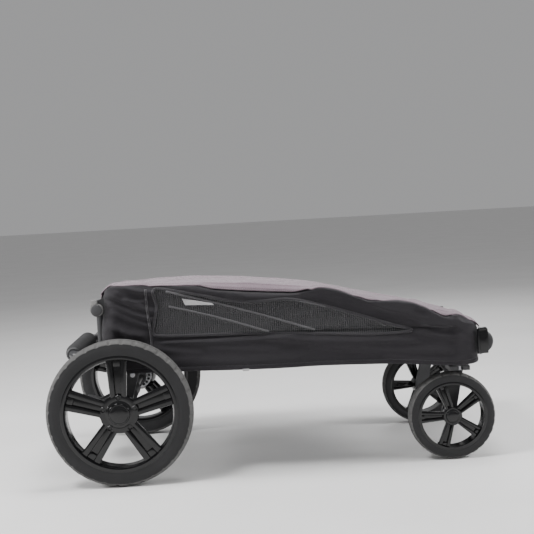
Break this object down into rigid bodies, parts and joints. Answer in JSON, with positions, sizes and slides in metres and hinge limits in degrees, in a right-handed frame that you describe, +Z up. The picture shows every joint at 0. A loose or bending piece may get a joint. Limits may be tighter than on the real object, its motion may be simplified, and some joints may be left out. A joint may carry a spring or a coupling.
{
  "type": "pet stroller",
  "caption": "Folded-flat pet stroller: wheeled chassis, soft cabin with net sides, arched roof frame on fold hubs, tilting push handle, swivel casters, foot brake.",
  "frame": {"origin": "on the floor, under the middle of the stroller's bounding box", "axes": "+X forward, towards the casters; +Y to the stroller's left; +Z up"},
  "size_m": [0.9455, 0.572, 0.4003],
  "materials": {
    "frame_paint": "satin black powder coat",
    "moulding": "fine-grained black nylon",
    "button_grey": "smooth mid grey",
    "steel": "zinc plated",
    "rim_gloss": "glossy black",
    "tyre": "matt dark grey rubber foam",
    "cloth_black": "matt black plain weave",
    "cloth_grey": "heather grey weave",
    "net_black": "black see-through net with bound edges",
    "pad_cloth": "black quilted cloth",
    "board": "black board",
    "grip_foam": "ribbed black foam"
  },
  "bodies": {
    "chassis": {"rail_left": "frame_paint", "rail_right": "frame_paint", "rear_cross_tube": "frame_paint", "mid_cross_tube": "frame_paint", "front_cross_tube": "frame_paint", "floor_board": "board", "floor_pad": "pad_cloth", "skirt_cloth": "cloth_black", "rear_axle": "steel", "axle_sleeve": "frame_paint", "axle_bracket_left": "moulding", "axle_bracket_right": "moulding", "caster_housings": "moulding", "fold_hub_outer_left": "moulding", "fold_hub_outer_right": "moulding", "front_bumper": "frame_paint", "frame_bolts": "steel"},
    "rear_wheel_left": {"rear_tyre_left": "tyre", "rear_rim_left": "rim_gloss", "rear_cap_left": "rim_gloss", "rear_bearings_left": "steel", "brake_disc_left": "steel"},
    "caster_left": {"fork_left": "moulding", "fork_stem_left": "steel"},
    "front_wheel_left": {"front_tyre_left": "tyre", "front_rim_left": "rim_gloss", "front_cap_left": "rim_gloss"},
    "swivel_lock_left": {"swivel_lock_left": "button_grey"},
    "brake_pin_left": {"brake_pin_left": "steel"},
    "fold_button_left": {"fold_button_left": "button_grey"},
    "tilt_button_left": {"tilt_button_left": "button_grey"},
    "rear_wheel_right": {"rear_tyre_right": "tyre", "rear_rim_right": "rim_gloss", "rear_cap_right": "rim_gloss", "rear_bearings_right": "steel", "brake_disc_right": "steel"},
    "caster_right": {"fork_right": "moulding", "fork_stem_right": "steel"},
    "front_wheel_right": {"front_tyre_right": "tyre", "front_rim_right": "rim_gloss", "front_cap_right": "rim_gloss"},
    "swivel_lock_right": {"swivel_lock_right": "button_grey"},
    "brake_pin_right": {"brake_pin_right": "steel"},
    "fold_button_right": {"fold_button_right": "button_grey"},
    "tilt_button_right": {"tilt_button_right": "button_grey"},
    "brake": {"brake_pedal": "moulding"},
    "roof_frame": {"roof_tube_left": "frame_paint", "roof_tube_right": "frame_paint", "roof_bow_rear": "frame_paint", "roof_bow_front": "frame_paint", "roof_corners": "moulding", "pivot_tube": "frame_paint", "roof_cloth": "cloth_grey", "side_cloth_left": "net_black", "side_cloth_right": "net_black", "rear_cloth": "cloth_black"},
    "handle": {"handle_loop": "frame_paint", "handle_grip": "grip_foam"}
  },
  "joints": [
    {"name": "roof_fold", "type": "hinge", "parent": "chassis", "child": "roof_frame", "pos_m": [0.447, 0, 0.251], "axis": [0, 1, 0], "range_deg": [0, 35]},
    {"name": "handle_tilt", "type": "hinge", "parent": "roof_frame", "child": "handle", "pos_m": [-0.359, 0, 0.364], "axis": [0, 1, 0], "range_deg": [0, 75]},
    {"name": "brake_press", "type": "hinge", "parent": "chassis", "child": "brake", "pos_m": [-0.32, 0, 0.1525], "axis": [0, 1, 0], "range_deg": [-14, 0]},
    {"name": "rear_wheel_spin_left", "type": "hinge", "parent": "chassis", "child": "rear_wheel_left", "pos_m": [-0.32, 0.26, 0.1525], "axis": [0, 1, 0], "continuous": true},
    {"name": "caster_swivel_left", "type": "hinge", "parent": "chassis", "child": "caster_left", "pos_m": [0.402, 0.2, 0.21], "axis": [0, 0, 1], "continuous": true},
    {"name": "front_wheel_spin_left", "type": "hinge", "parent": "caster_left", "child": "front_wheel_left", "pos_m": [0.38, 0.2, 0.093], "axis": [0, 1, 0], "continuous": true},
    {"name": "swivel_lock_slide_left", "type": "slide", "parent": "chassis", "child": "swivel_lock_left", "axis": [0, 0, -1], "range_m": [0, 0.006]},
    {"name": "brake_pin_slide_left", "type": "slide", "parent": "chassis", "child": "brake_pin_left", "axis": [0, 1, 0], "range_m": [0, 0.009]},
    {"name": "fold_button_press_left", "type": "slide", "parent": "chassis", "child": "fold_button_left", "axis": [0, -1, 0], "range_m": [0, 0.0025], "stiffness_N_per_m": 400, "springref_m": -0.002},
    {"name": "tilt_button_press_left", "type": "slide", "parent": "handle", "child": "tilt_button_left", "axis": [0, -1, 0], "range_m": [0, 0.0025], "stiffness_N_per_m": 400, "springref_m": -0.002},
    {"name": "rear_wheel_spin_right", "type": "hinge", "parent": "chassis", "child": "rear_wheel_right", "pos_m": [-0.32, -0.26, 0.1525], "axis": [0, 1, 0], "continuous": true},
    {"name": "caster_swivel_right", "type": "hinge", "parent": "chassis", "child": "caster_right", "pos_m": [0.402, -0.2, 0.21], "axis": [0, 0, 1], "continuous": true},
    {"name": "front_wheel_spin_right", "type": "hinge", "parent": "caster_right", "child": "front_wheel_right", "pos_m": [0.38, -0.2, 0.093], "axis": [0, 1, 0], "continuous": true},
    {"name": "swivel_lock_slide_right", "type": "slide", "parent": "chassis", "child": "swivel_lock_right", "axis": [0, 0, -1], "range_m": [0, 0.006]},
    {"name": "brake_pin_slide_right", "type": "slide", "parent": "chassis", "child": "brake_pin_right", "axis": [0, -1, 0], "range_m": [0, 0.009]},
    {"name": "fold_button_press_right", "type": "slide", "parent": "chassis", "child": "fold_button_right", "axis": [0, 1, 0], "range_m": [0, 0.0025], "stiffness_N_per_m": 400, "springref_m": -0.002},
    {"name": "tilt_button_press_right", "type": "slide", "parent": "handle", "child": "tilt_button_right", "axis": [0, 1, 0], "range_m": [0, 0.0025], "stiffness_N_per_m": 400, "springref_m": -0.002}
  ],
  "couplings": [
    {"joint": "brake_pin_slide_left", "follows": "brake_press", "m_per_rad": -0.03683},
    {"joint": "brake_pin_slide_right", "follows": "brake_press", "m_per_rad": -0.03683}
  ]
}
